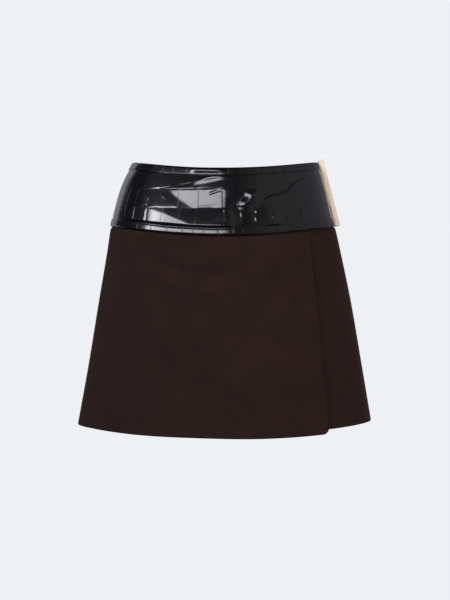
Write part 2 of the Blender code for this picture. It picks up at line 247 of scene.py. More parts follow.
# Between its seams the leather buckles into two long pillows with a crease between them.
PILLOW_TOP, PILLOW_FOOT = 9.5, 9.5
PILLOWS_RISE, PILLOWS_FALL = (-1.0, 3.0), (-3.5, 1.0)
BUCKLES = [
    Buckle(0, 1.5, -1, 0.5, -2, 1, 0.8),
    Buckle(20, 1.5, -1, 0.6, -2, 1, 1),
    Buckle(50, 2, -1, 0.9, -2, 1.5, 1.2),
    Buckle(68, 2, -1.5, 1, -2, 2.5, 1.3),
    Buckle(76, 2.5, -3, 0.4, -6, 3.5, 1.3),
    Buckle(84, 3.2, -4, 0.35, -8, 4, 1.3),
    Buckle(90, 3.5, -2, 1.2, -2.5, 5.6, 1.4),
    Buckle(97, 3.7, -2.5, 1.2, -1.2, 6.4, 1.4),
    Buckle(103, 3.8, -2.5, 1.15, 0, 6.2, 1.3),
    Buckle(109, 3.8, -2.5, 0.78, 3.5, 5.2, 0.86),
    Buckle(116, 3.8, -2, 0.42, 4.2, 4.6, 0.6),
    Buckle(122, 3.6, 0, 0.1, 4.4, 4.2, 0.36),
    Buckle(133, 3.2, 3.8, 0.1, 4.2, 3.4, 0.1),
    Buckle(146, 2.5, 2.5, 0.2, 3, 2, 0),
    Buckle(162, 2, 1, 0.3, 1, 0.5, 0.2),
    Buckle(184, 2, -1, 0.4, -1.5, 1, 0.5),
    Buckle(215, 3, -2, 0.3, -3.5, 3, 0.4),
    Buckle(242, 4, -2.5, 0.4, -5, 5, 0.6),
    Buckle(262, 3.8, -2.5, 0.8, 2.5, 4.4, 0.9),
    Buckle(284, 3.6, -1, 0.3, 3.5, 4, 0.4),
    Buckle(312, 3, -1, 0.4, -2, 3, 0.4),
    Buckle(340, 2, -1, 0.5, -2.5, 1.5, 0.6),
    Buckle(360, 1.5, -1, 0.5, -2, 1, 0.8),
]
BUCKLE_FLAT = -2.5
ROLL_SOFT, FLAT_SOFT = 0.18, 0.14
MIDDLE_STARTS, LOWER_STARTS = (-0.2, 3.4), (-1.4, 1.4)

# Folds and fine wrinkles across the pillows, and like ones at the back.
BAND_CREASES = [
    Crease(0.62, 8, ((110, 38), (104, 33.5), (98, 30.5), (92, 27.5), (86, 26))),
    Crease(2.8, 15, ((74.5, 44), (74.6, 55), (76, 64), (80, 71), (87.5, 75))),
    Crease(1.4, 20, ((64.5, 58), (64.5, 84), (65, 108)), 0.48),
    Crease(-1.2, 5.5, ((73, 63), (69, 59), (65, 53.5), (56.2, 48), (50.6, 38), (45.2, 30), (36, 25)), 0.2),
    Crease(0.6, 8, ((47, 44), (43, 56), (38, 62), (32, 48), (22, 35)), 0.4),
    Crease(-0.6, 5, ((265, 66), (256, 58), (246, 50), (238, 36))),
    Crease(1.4, 14, ((271, 42), (270, 56), (265, 70), (257, 80))),
    Crease(1, 18, ((292, 66), (293, 84), (293, 100))),
]
WRINKLES = [
    Crease(-0.75, 2, ((66.2, 72), (65.2, 77), (65.6, 86), (66.2, 98))),
    Crease(-0.95, 1.9, ((57.6, 73), (56.4, 79), (56.9, 87), (57.2, 97))),
    Crease(-1.15, 1.9, ((48.6, 68), (47.2, 76), (47.9, 84), (47.6, 94))),
    Crease(-0.4, 1.6, ((56.2, 46), (54.6, 50)), 0.4),
    Crease(-0.9, 1.9, ((75.6, 73), (74.4, 80), (75, 88), (74.6, 98)), 0.25),
    Crease(-0.5, 1.7, ((82.6, 76), (82.2, 86), (82.5, 99)), 0.25),
    Crease(-0.5, 1.7, ((90.9, 76), (90.6, 86), (90.8, 100)), 0.25),
    Crease(0.45, 1.5, ((133.6, 48), (133.2, 56), (133.8, 64), (133.4, 70)), 0.2),
    Crease(0.55, 1.5, ((133.8, 74), (133.3, 82), (133.6, 90), (133.2, 99)), 0.15),
    Crease(0.4, 1.5, ((142.6, 40), (142.9, 60), (142.4, 80), (142.8, 98)), 0.15),
    Crease(0.4, 1.5, ((150.4, 34), (150.9, 58), (150.3, 80), (150.6, 96)), 0.15),
    Crease(-0.13, 1.8, ((112, 27), (108.5, 30), (104, 35.8)), 0.4),
    Crease(-0.15, 1.7, ((103.5, 36), (97.6, 31.5), (90, 29.5)), 0.4),
    Crease(0.1, 1.8, ((103, 33), (97, 29), (91, 28))),
    Crease(-0.12, 1.7, ((107, 37.5), (111, 39.3), (117.1, 41.8))),
    Crease(-0.1, 1.6, ((119, 42.4), (123.1, 44), (134, 45.6))),
    Crease(-0.34, 3.2, ((99, 55), (95.5, 51.5), (90.5, 47.5))),
    Crease(0.1, 1.8, ((107.3, 73), (100, 69.4), (90.2, 67.2))),
    Crease(-0.12, 2, ((146, 33), (139, 35.5), (131, 34))),
    Crease(0.12, 2.2, ((144, 39), (137, 37.5), (131, 39))),
    Crease(-0.12, 2, ((141, 29), (135, 30.5), (129, 29.5))),
    Crease(-0.2, 2, ((252, 28), (246, 33), (239, 29))),
]
DENTS, DENT_DROPS, DENT_SWELLS = 44, (26, 98), (0.05, 0.16)
DENT_WIDTHS, DENT_LENGTHS, DENT_LEAN, DENT_FADE = (4.0, 9.0), (8.0, 26.0), 0.9, 0.45
# About how long a degree is round the band.
BAND_DEGREE = 2.3

# The wool's mesh, the drop at which its width is measured, and how much deeper its creases are than in the
# solids.
WOOL_ROWS, WOOL_COLUMN = 84, 3.6
MEASURED_DROP = 250.0
CREASES_DEEPER = 1.4


def smooth_step(low, high, value):
    """0 up to low, 1 from high on, and an even S between them."""
    share = np.clip((value - low) / (high - low), 0, 1)
    return share * share * (3 - 2 * share)


def smooth_curve(places, values, at):
    """A smooth curve through (place, value) rows, straight past its ends."""
    last = len(places) - 1
    before, after = np.maximum(np.arange(last + 1) - 1, 0), np.minimum(np.arange(last + 1) + 1, last)
    slopes = (values[after] - values[before]) / (places[after] - places[before])
    at = np.asarray(at, float)
    inside = np.clip(at, places[0], places[-1])
    i = np.clip(np.searchsorted(places, inside, side="right") - 1, 0, last - 1)
    span = places[i + 1] - places[i]
    t = (inside - places[i]) / span
    near = (1 + 2 * t) * (1 - t) ** 2 * values[i] + t**2 * (3 - 2 * t) * values[i + 1]
    curve = near + span * (t * (1 - t) ** 2 * slopes[i] - t**2 * (1 - t) * slopes[i + 1])
    return curve + np.where(at > inside, slopes[-1], slopes[0]) * (at - inside)


def reach(column, drop):
    """One column of the sections at any drops."""
    table = np.array(SECTIONS, float)
    return smooth_curve(table[:, 0], table[:, column], drop)


def plain_outside(angle, drop):
    """Points of the skirt's outside before its folds."""
    across, forward = np.cos(np.radians(angle)), np.sin(np.radians(angle))
    wide = np.where(across > 0, reach(1, drop), reach(2, drop))
    deep = np.where(forward > 0, reach(3, drop), reach(4, drop))
    return np.stack([wide * across, -deep * forward, -np.asarray(drop, float) + 0 * across], axis=-1)


def arc_table(drop):
    """Angles from -90 to 450, and how far round the skirt they are at this drop, from the left side."""
    angles = np.linspace(-90, 450, 2161)
    points = plain_outside(angles, np.full_like(angles, drop))
    lengths = np.concatenate([[0], np.cumsum(np.linalg.norm(np.diff(points, axis=0), axis=1))])
    return angles, lengths - np.interp(0, angles, lengths)


BAND_ARC = arc_table(60)
HIP_ARC = arc_table(220)


def along(angle, arc):
    return np.interp(angle, *arc)


def angle_at(length, arc):
    return np.interp(length, arc[1], arc[0])


def smooth_line(points, count=36):
    """Points along a smooth curve through the given ones."""
    knots = np.array(points, float)
    knots = np.vstack([2 * knots[0] - knots[1], knots, 2 * knots[-1] - knots[-2]])
    places = np.linspace(0, len(knots) - 3, count)
    i = np.minimum(places.astype(int), len(knots) - 4)
    t = (places - i)[:, None]
    a, b, c, d = knots[i], knots[i + 1], knots[i + 2], knots[i + 3]
    return 0.5 * (2 * b + (c - a) * t + (2 * a - 5 * b + 4 * c - d) * t**2 + (3 * b - a - 3 * c + d) * t**3)


def crease_swell(creases, angle, drop, arc):
    """How far the creases push the surface out, at each place of a grid."""
    total = np.zeros(np.shape(angle))
    flat_x, flat_y = along(angle, arc), np.asarray(drop, float)
    for crease in creases:
        line = smooth_line(crease.points)
        line[:, 0] = along(line[:, 0], arc)
        low, high = line.min(axis=0) - crease.half_width, line.max(axis=0) + crease.half_width
        near = (flat_x > low[0]) & (flat_x < high[0]) & (flat_y > low[1]) & (flat_y < high[1])
        if not near.any():
            continue
        x, y = flat_x[near][:, None], flat_y[near][:, None]
        start, step = line[:-1], np.diff(line, axis=0)
        t = ((x - start[:, 0]) * step[:, 0] + (y - start[:, 1]) * step[:, 1]) / (step**2).sum(axis=1)
        t = np.clip(t, 0, 1)
        away = np.hypot(x - start[:, 0] - t * step[:, 0], y - start[:, 1] - t * step[:, 1])
        best = away.argmin(axis=1)
        picked = np.arange(len(best))
        share = (best + t[picked, best]) / len(step)
        across = (1 + np.cos(np.pi * np.clip(away[picked, best] / crease.half_width, 0, 1))) / 2
        ends = smooth_step(0, crease.fade, share) * (1 - smooth_step(1 - crease.fade, 1, share))
        total[near] += crease.swell * across * ends
    return total


def fold_swell(angle, drop):
    """How far the flutes push the cloth out."""
    total = np.zeros(np.shape(angle))
    for fold in FOLDS:
        away = np.abs((angle - fold.angle + 180) % 360 - 180) / fold.half_width
        across = (1 + np.cos(np.pi * np.clip(away, 0, 1))) / 2
        total += fold.swell * across * smooth_step(fold.starts, SECTIONS[-1].drop, drop)
    return total


def outside(angle, drop, swell=0.0):
    """Points of the skirt's outside with its flutes."""
    across, forward = np.cos(np.radians(angle)), np.sin(np.radians(angle))
    point = plain_outside(angle, drop)
    push = fold_swell(angle, drop) + swell
    point[..., 0] += push * across
    point[..., 1] -= push * forward
    return point


def out_of(angle, drop):
    """The directions straight out of the cloth."""
    round_it = outside(angle + 0.5, drop) - outside(angle - 0.5, drop)
    down_it = outside(angle, drop + 1) - outside(angle, drop - 1)
    out = np.cross(round_it, down_it)
    return out / np.linalg.norm(out, axis=-1, keepdims=True)


def edge_drop(angle, at_side, lower_front, lower_back):
    """The drop of an edge that runs level at the sides and lower at mid front and mid back."""
    forward = np.sin(np.radians(angle))
    return at_side + np.where(forward > 0, lower_front, lower_back) * forward**2


def band_top(angle):
    return edge_drop(angle, BAND_TOP, BAND_TOP_FRONT, BAND_TOP_BACK)


def band_foot(angle):
    return edge_drop(angle, BAND_FOOT, BAND_FOOT_FRONT, BAND_FOOT_BACK)


def wrap_hem(angle):
    droop = WRAP_HEM_DROOP * (1 - smooth_step(*WRAP_DROOP_ANGLES, angle))
    return edge_drop(angle, WRAP_HEM, WRAP_HEM_FRONT, 0) + droop


def underlap_hem(angle):
    return edge_drop(angle, UNDERLAP_HEM, UNDERLAP_HEM_FRONT, 0)


def back_hem(angle):
    """The back's hem joins the wrap's at the right seam and the underlap's at the left one."""
    to_left = (1 + np.cos(np.radians(angle))) / 2
    return edge_drop(angle, WRAP_HEM + (UNDERLAP_HEM - WRAP_HEM) * to_left, 0, BACK_HEM_LOWER)


def wrap_edge_x(drop):
    """How far left the wrap's free edge is, at one drop."""
    below = drop - WRAP_EDGE_DROP
    return WRAP_EDGE_X + WRAP_EDGE_SLANT * below + WRAP_EDGE_BOW * below * np.abs(below)


def front_angle_at(x, drop):
    """The angle at which the front reaches this far left."""
    return np.degrees(np.arccos(x / reach(1, drop)))


def wrap_edge(drop):
    return front_angle_at(wrap_edge_x(drop), drop)


def hidden_edge(drop):
    return front_angle_at(wrap_edge_x(drop) - UNDERLAP_HIDDEN, drop)


def seam_at(angle):
    """A panel's straight edge, at the same angle at every drop."""
    return lambda drop: angle + 0 * drop


def lap_in(angle, drop):
    """1 over the underlap and 0 well before its hidden edge, for what lies outside it."""
    past_hidden = plain_outside(angle, drop)[..., 0] - (wrap_edge_x(drop) - UNDERLAP_HIDDEN)
    return smooth_step(RISE_FROM, RISE_TO, past_hidden)


def lap_out(angle, drop):
    """1 under the wrap and 0 at the left side, for what passes the wrap's free edge."""
    past_edge = plain_outside(angle, drop)[..., 0] - wrap_edge_x(drop)
    return 1 - smooth_step(SINK_FROM, SINK_TO, past_edge)


def tuck(angle, drop):
    """How far the waistband presses the wool in."""
    return -TUCK_IN * (1 - smooth_step(TUCK_FROM, TUCK_TO, drop - band_foot(angle)))


def wrap_out(angle, drop):
    """The wrap lies over the underlap, and its free edge stands off a little towards the hem."""
    short_of_edge = wrap_edge_x(drop) - plain_outside(angle, drop)[..., 0]
    near_edge = np.maximum(0.0, 1 - short_of_edge / WRAP_EDGE_STAND_WIDTH) ** 2
    stand = WRAP_EDGE_STAND * near_edge * smooth_step(WRAP_EDGE_DROP, WRAP_EDGE_FREE, drop)
    return LAYER_LIFT * lap_in(angle, drop) + tuck(angle, drop) + stand


def underlap_out(angle, drop):
    return -LAYER_LIFT * lap_out(angle, drop) + tuck(angle, drop)


def band_out(angle, drop):
    lift = LAYER_LIFT * lap_in(angle, drop) * lap_out(angle, drop)
    return np.where(np.sin(np.radians(angle)) > 0, lift, 0.0)


def edge_places(length, radius, step):
    """Places from 0 to a length: close together within a rounded edge at both ends, even between them."""
    close = radius * np.array(EDGE_PLACES)
    count = max(2, round((length - 2 * radius) / step))
    even = np.linspace(radius, length - radius, count + 1)
    return np.concatenate([close[:-1], even, length - close[-2::-1]])


def edge_fall(places, length, radius):
    """0 on the flat of a wall, and up to nearly 1 where its rounded edge turns in."""
    from_edge = np.minimum(places, length - places)
    share = np.clip(1 - from_edge / radius, 0, 1)
    return EDGE_TURN * (1 - np.sqrt(np.clip(1 - share**2, 0, 1)))


def new_mesh(name, points, faces, materials):
    """A smooth mesh from points in millimetres."""
    mesh = bpy.data.meshes.new(name)
    mesh.from_pydata((points.reshape(-1, 3) * MM).tolist(), [], faces)
    for material in materials:
        mesh.materials.append(material)
    mesh.shade_smooth()
    return mesh


def add_values(mesh, label, values):
    """A value for each of the mesh's first points, and 0 for the others."""
    filled = np.zeros(len(mesh.vertices), np.float32)
    filled[: values.size] = values.reshape(-1)
    mesh.attributes.new(label, "FLOAT", "POINT").data.foreach_set("value", filled)


def closed_shell(name, outer, inner, materials):
    """One closed mesh from an outer and an inner grid, where the inner may be coarser by a whole number."""
    rows, columns = outer.shape[:2]
    inner_rows, inner_columns = inner.shape[:2]
    down, round_it = (rows - 1) // (inner_rows - 1), (columns - 1) // (inner_columns - 1)
    out_at = np.arange(rows * columns).reshape(rows, columns)
    in_at = rows * columns + np.arange(inner_rows * inner_columns).reshape(inner_rows, inner_columns)

    def quads(at):
        return np.stack([at[:-1, :-1], at[:-1, 1:], at[1:, 1:], at[1:, :-1]], axis=-1).reshape(-1, 4)

    faces = quads(out_at).tolist()
    outside_faces = len(faces)
    faces += quads(in_at)[:, ::-1].tolist()
    rims = (
        (out_at[0], in_at[0], round_it, True),
        (out_at[-1], in_at[-1], round_it, False),
        (out_at[:, 0], in_at[:, 0], down, False),
        (out_at[:, -1], in_at[:, -1], down, True),
    )
    for outer_edge, inner_edge, many, flip in rims:
        for i in range(len(inner_edge) - 1):
            along_it = outer_edge[i * many : (i + 1) * many + 1]
            face = [*along_it.tolist(), int(inner_edge[i + 1]), int(inner_edge[i])]
            faces.append(face[::-1] if flip else face)
    mesh = new_mesh(name, np.concatenate([outer.reshape(-1, 3), inner.reshape(-1, 3)]), faces, materials)
    if len(materials) > 1:
        slots = np.ones(len(faces), np.int32)
        slots[:outside_faces] = 0
        mesh.polygons.foreach_set("material_index", slots)
    return mesh


def tubes(name, points, material):
    """One mesh of closed tubes, from points in the order (tube, ring, place round the ring)."""
    at = np.arange(points.size // 3).reshape(points.shape[:3])
    following = np.roll(at, -1, axis=2)
    sides = np.stack([at[:, :-1], following[:, :-1], following[:, 1:], at[:, 1:]], axis=-1).reshape(-1, 4)
    ends = at[:, 0, ::-1].tolist() + at[:, -1].tolist()
    return new_mesh(name, points, sides.tolist() + ends, [material])


def add_piece(mesh):
    obj = bpy.data.objects.new(mesh.name, mesh)
    bpy.context.scene.collection.objects.link(obj)
    return obj


def wool_panel(name, start, end, hem, out, material, corner=0.0):
    """A wool panel as a closed shell with rounded edges; start and end are its edges' angles at each drop."""
    first, last = start(MEASURED_DROP), end(MEASURED_DROP)
    middle = np.array([(first + last) / 2])
    length = float(hem(middle)[0] - band_foot(middle)[0]) + TUCK_UP
    width = float(along(last, HIP_ARC) - along(first, HIP_ARC))
    radius = WOOL / 2
    down = edge_places(length, radius, length / WOOL_ROWS)
    across = edge_places(width, radius, WOOL_COLUMN)
    share_down, share_across = np.meshgrid(down / length, across / width, indexing="ij")

    angle = first + (last - first) * share_across
    for _ in range(2):
        top = band_foot(angle) - TUCK_UP
        drop = top + (hem(angle) - top) * share_down
        angle = start(drop) + (end(drop) - start(drop)) * share_across
    if corner:
        # The free edge's lower corner is rounded by a quarter circle.
        from_edge = share_across * width
        into = np.clip(1 - from_edge / corner, 0, 1)
        drop -= corner * (1 - np.sqrt(1 - into**2)) * smooth_step(WRAP_CORNER_FROM, 1.0, share_down)

    fall = radius * np.maximum.outer(edge_fall(down, length, radius), edge_fall(across, width, radius))
    swell = CREASES_DEEPER * crease_swell(WOOL_CREASES, angle, drop, HIP_ARC)
    point, normal = outside(angle, drop, swell), out_of(angle, drop)
    offset = out(angle, drop)
    outer = point + normal * (offset - fall)[..., None]
    inner = point + normal * (offset - WOOL + fall)[..., None]
    return add_piece(closed_shell(name, outer, inner, [material]))


def wavy(places, rng, step, size):
    """An uneven line: smooth random offsets of up to this size, with a knot every step."""
    knots = np.arange(places.min() - 2 * step, places.max() + 3 * step, step)
    offsets = rng.uniform(-size, size, len(knots))
    i = np.clip(((places - knots[0]) / step).astype(int), 0, len(knots) - 2)
    t = (places - knots[i]) / step
    t = t * t * (3 - 2 * t)
    return offsets[i] * (1 - t) + offsets[i + 1] * t


def scale_line_places(row, rng):
    """How far round the band the lines across one row are: its own in front, then uneven ones behind."""
    front = sorted(float(along(angle, BAND_ARC)) for angle in SCALE_LINES[row])
    places = list(front)
    whole = float(along(360, BAND_ARC))
    while places[-1] < whole + front[0] - SCALE_WIDTHS[0]:
        places.append(places[-1] + rng.uniform(*SCALE_WIDTHS))
    places[-1] = whole + front[0]
    return np.array([places[-2] - whole] + places)


def groove_across(away, width):
    """1 in the middle of a groove, and 0 well away from it."""
    return np.exp(-((away / width) ** 2))


def scale_relief(angle, drop):
    """The height of the embossed scales, and how deep in a groove each place is (0 to 1)."""
    rng = np.random.default_rng(SEED)
    place = along(angle, BAND_ARC)
    table = np.array(RELIEFS, float)
    between, *across_rows = (np.interp(angle % 360, table[:, 0], table[:, i]) for i in range(1, 5))
    lines = [band_top(angle) + PILLOW_TOP - ROWS_PAST_SEAM]
    for row_line in ROW_LINES:
        level = edge_drop(angle, *row_line)
        lines.append(level + wavy(place, rng, *ROW_WANDER) + wavy(place, rng, *ROW_JITTER))
    lines.append(band_foot(angle) - PILLOW_FOOT + ROWS_PAST_SEAM)

    relief = np.zeros(np.shape(angle))
    groove = np.zeros(np.shape(angle))
    for line in lines[1:-1]:
        strength = between * np.clip(ROW_CLEAR + wavy(place, rng, *ROW_FADE), 0, 1)
        groove = np.maximum(groove, strength * groove_across(drop - line, GROOVE_WIDTH))
    for row, clear in enumerate(across_rows):
        upper, lower = lines[row], lines[row + 1]
        in_row = (drop >= upper) & (drop < lower)
        middle_drop = (upper + lower) / 2
        columns = scale_line_places(row, rng)
        nearest = np.full(np.shape(angle), np.inf)
        tilted = np.zeros(np.shape(angle))
        for i, column in enumerate(columns):
            lean = rng.uniform(-LINE_LEAN, LINE_LEAN)
            line = column + lean * (drop - middle_drop) + wavy(drop, rng, *LINE_WANDER)
            away = np.abs(place - line)
            nearest = np.minimum(nearest, away)
            strength = clear * np.clip(rng.uniform(*LINE_CLEAR) + wavy(drop, rng, *LINE_FADE), 0, 1)
            deeper = np.maximum(groove, strength * groove_across(away, GROOVE_WIDTH))
            groove = np.where(in_row, deeper, groove)
            across, down = rng.uniform(-1, 1, 2) * SCALE_TILT
            following = columns[i + 1] if i + 1 < len(columns) else column + SCALE_WIDTHS[1]
            tilt = across * (place - (column + following) / 2) + down * (drop - middle_drop)
            tilted = np.where(place >= line, tilt, tilted)
        edge = np.minimum(nearest, np.minimum(drop - upper, lower - drop))
        dome = (1 - np.exp(-edge / SCALE_SHOULDER)) * (SCALE_DOME + tilted) * clear
        relief = np.where(in_row, dome, relief)
    return relief - GROOVE_DEPTH * groove, groove


def buckle_height(angle, drop):
    """The height that the buckles' slopes add up to, down each column of a grid of the waistband."""
    table = np.array(BUCKLES, float)
    columns = [smooth_curve(table[:, 0], table[:, i], angle % 360) for i in range(1, 7)]
    top, middle, roll_from, roll, lower, lower_to = columns
    seam = band_top(angle) + PILLOW_TOP
    first, second = (edge_drop(angle, *line) for line in ROW_LINES)
    foot = band_foot(angle) - PILLOW_FOOT
    in_middle, in_lower = (drop - first) / (second - first), (drop - second) / (foot - second)
    middle = middle + (roll - middle) * smooth_step(-ROLL_SOFT, ROLL_SOFT, in_middle - roll_from)
    lower = lower + (BUCKLE_FLAT - lower) * smooth_step(-FLAT_SOFT, FLAT_SOFT, in_lower - lower_to)
    slope = np.where(drop < seam, 0.0, top)
    slope = slope + (middle - slope) * smooth_step(*MIDDLE_STARTS, drop - first) * (drop > seam)
    slope = slope + (lower - slope) * smooth_step(*LOWER_STARTS, drop - second)
    steps = np.diff(drop, axis=0, prepend=drop[:1])
    return np.cumsum(np.tan(np.radians(slope)) * steps, axis=0)


def dents():
    """Small uneven wrinkles all round the waistband."""
    rng = np.random.default_rng(SEED + 5)
    rows = []
    for _ in range(DENTS):
        angle, drop = rng.uniform(0, 360), rng.uniform(*DENT_DROPS)
        lean, length = rng.uniform(-DENT_LEAN, DENT_LEAN), rng.uniform(*DENT_LENGTHS) / 2
        swell = rng.uniform(*DENT_SWELLS) * rng.choice((-1, 1))
        across, down = length / BAND_DEGREE * math.cos(lean), length * math.sin(lean)
        points = ((angle - across, drop - down), (angle + across, drop + down))
        rows.append(Crease(swell, rng.uniform(*DENT_WIDTHS), points, DENT_FADE))
    return rows


def band_swell(angle, drop):
    """The waistband's buckles, folds and wrinkles, which end at its seams."""
    top, foot = band_top(angle) + PILLOW_TOP, band_foot(angle) - PILLOW_FOOT
    between_seams = smooth_step(*PILLOWS_RISE, drop - top) * (1 - smooth_step(*PILLOWS_FALL, drop - foot))
    folds = crease_swell(BAND_CREASES + WRINKLES + dents(), angle, drop, BAND_ARC)
    return (buckle_height(angle, drop) + folds) * between_seams


def lining_steps(length):
    """How many of the leather's fine steps fit in a length, in whole steps of its lining."""
    return LEATHER_LINING_STEP * round(length / LEATHER_STEP / LEATHER_LINING_STEP)


def band_panel(name, start, end, materials):
    """A length of the leather waistband with its scales, as a closed shell with a coarser, smooth inside."""
    width = float(along(end, BAND_ARC) - along(start, BAND_ARC))
    down, across = (np.linspace(0, 1, lining_steps(length) + 1) for length in (BAND_DEPTH, width))
    share_down, share_across = np.meshgrid(down, across, indexing="ij")
    angle = start + (end - start) * share_across
    drop = band_top(angle) + (band_foot(angle) - band_top(angle)) * share_down
    relief, groove = scale_relief(angle, drop)
    fall = LEATHER / 2 * edge_fall(share_across * width, width, LEATHER_EDGE)
    normal = out_of(angle, drop)
    offset = band_out(angle, drop)
    swell = band_swell(angle, drop)
    outer = outside(angle, drop) + normal * (offset + swell + relief - fall)[..., None]
    coarse = (slice(None, None, LEATHER_LINING_STEP),) * 2
    depth = (offset + np.minimum(swell, 0) - LEATHER + fall)[coarse]
    inner = outside(angle[coarse], drop[coarse]) + normal[coarse] * depth[..., None]
    mesh = closed_shell(name, outer, inner, materials)
    add_values(mesh, "groove", groove)
    add_values(mesh, "grain", np.interp(angle % 360, *np.array(GRAINS, float).T))
    return add_piece(mesh)


def strip_face(rows):
    """A strip's outer face from its fold to its stitched edge, as (down, out from the band) points."""
    return [(share * BINDING_WIDTH, BINDING_FACE + height) for share, height in rows]


def top_strip_profile():
    """The strip folded over the band's top edge, as (up from the edge, out from the band's face) points."""
    width, fold, gap = BINDING_WIDTH, BINDING_FACE, SEAM_GAP
    return [
        (-width + 0.1, gap - 0.2),
        (-width - 0.02, 0.4 * fold),
        (-width, 0.88 * fold),
        (-width + 0.2, 0.99 * fold),
        *[(-down, out) for down, out in strip_face(TOP_FACE)[::-1]],
        (0.35, 0.75 * fold),
        (1.05, 0.05),
        (fold, -0.8),
        (fold, -LEATHER + 0.2),
        (1.0, -LEATHER - 0.75),
        (0.2, -LEATHER - fold + 0.2),
        (-1.2, -LEATHER - fold),
        (-width + 0.8, -LEATHER - fold),
        (-width, -LEATHER - fold + 0.4),
        (-width + 0.1, -LEATHER - gap + 0.2),
        (0.2, -LEATHER - gap),
        (0.2, gap),
    ]


def foot_strip_profile():
    """The strip turned under the band's foot, as (up from the edge, out from the band's face) points."""
    width, fold, gap = BINDING_WIDTH, BINDING_FACE, SEAM_GAP
    return [
        (width + 0.02, 0.4 * fold),
        (width - 0.1, gap - 0.2),
        (-0.1, gap),
        (-0.2, -LEATHER + 0.1),
        (-1.0, -LEATHER + 0.1),
        (-fold, -1.0),
        (-fold - 0.1, -0.2),
        (-1.05, 0.55),
        (-0.45, 0.85 * fold),
        *strip_face(FOOT_FACE),
        (width - 0.2, 0.99 * fold),
        (width, 0.88 * fold),
    ]


def strip_places():
    """The angles of the strips' cross-sections, from beside the bar round to its other side."""
    first, last = along(BINDING_ENDS, BAND_ARC), along(360 - BINDING_ENDS, BAND_ARC)
    return angle_at(np.linspace(first, last, round(float(last - first) / STRIP_STEP) + 1), BAND_ARC)


def strip(name, profile, edge, fullness, seed, material):
    """A strip swept along an edge of the waistband, uneven by hand, with the embossed lines that cross it."""
    rng = np.random.default_rng(seed)
    angles = strip_places()
    place = along(angles, BAND_ARC)
    ups, outs = np.array(profile).T
    share_out = np.clip(outs / BINDING_FACE, 0, 1)
    full = np.interp(angles, *np.array(fullness, float).T)
    lines = [place[0] + STRIP_GROOVE_FIRST]
    while lines[-1] < place[-1] - STRIP_GROOVES[0]:
        lines.append(lines[-1] + rng.uniform(*STRIP_GROOVES))
    across = sum(groove_across(place - line, STRIP_GROOVE_WIDTH) for line in lines)
    puff = wavy(place, rng, *STRIP_SWELL) + wavy(place, rng, *STRIP_JITTER) - STRIP_GROOVE_DEPTH * across
    wander = wavy(place, rng, *STRIP_WANDER)

    angle = np.repeat(angles[:, None], len(ups), axis=1)
    drop = edge(angle) - ups + wander[:, None] * share_out * (np.abs(ups) > STRIP_FIXED)
    raised = np.maximum(outs - BINDING_FACE, 0) * full[:, None] + puff[:, None] * share_out
    out = np.minimum(outs, BINDING_FACE) + raised + band_out(angle, edge(angle))
    points = outside(angle, drop) + out_of(angle, drop) * out[..., None]
    mesh = tubes(name, points[None], material)
    add_values(mesh, "groove", np.repeat(np.clip(across, 0, 1), len(ups)))
    return add_piece(mesh)


def stitches(name, edge, up, material):
    """A row of stitches round a strip, as one mesh of small thread capsules laid along it."""
    first = along(BINDING_ENDS, BAND_ARC) + STITCH_PITCH
    last = along(360 - BINDING_ENDS, BAND_ARC) - STITCH_PITCH
    places = np.arange(first, last, STITCH_PITCH)
    shares, sizes = np.array(STITCH_RINGS).T
    angle = angle_at(places[:, None] + shares * STITCH_LENGTH, BAND_ARC)
    drop = edge(angle) - up
    sink = STITCH_SINK * (2 * shares) ** 2
    normal = out_of(angle, drop)
    face = STITCH_LEVEL * BINDING_FACE + band_out(angle, edge(angle)) - sink
    centre = outside(angle, drop) + normal * face[..., None]
    sideways = np.cross(normal, outside(angle + 0.5, drop) - outside(angle, drop))
    sideways /= np.linalg.norm(sideways, axis=-1, keepdims=True)
    turns = 2 * np.pi * np.arange(STITCH_SIDES) / STITCH_SIDES
    ring = normal[..., None, :] * np.cos(turns)[:, None] + sideways[..., None, :] * np.sin(turns)[:, None]
    points = centre[..., None, :] + ring * (STITCH_THICK / 2 * sizes)[:, None, None]
    return add_piece(tubes(name, points, material))


# Materials


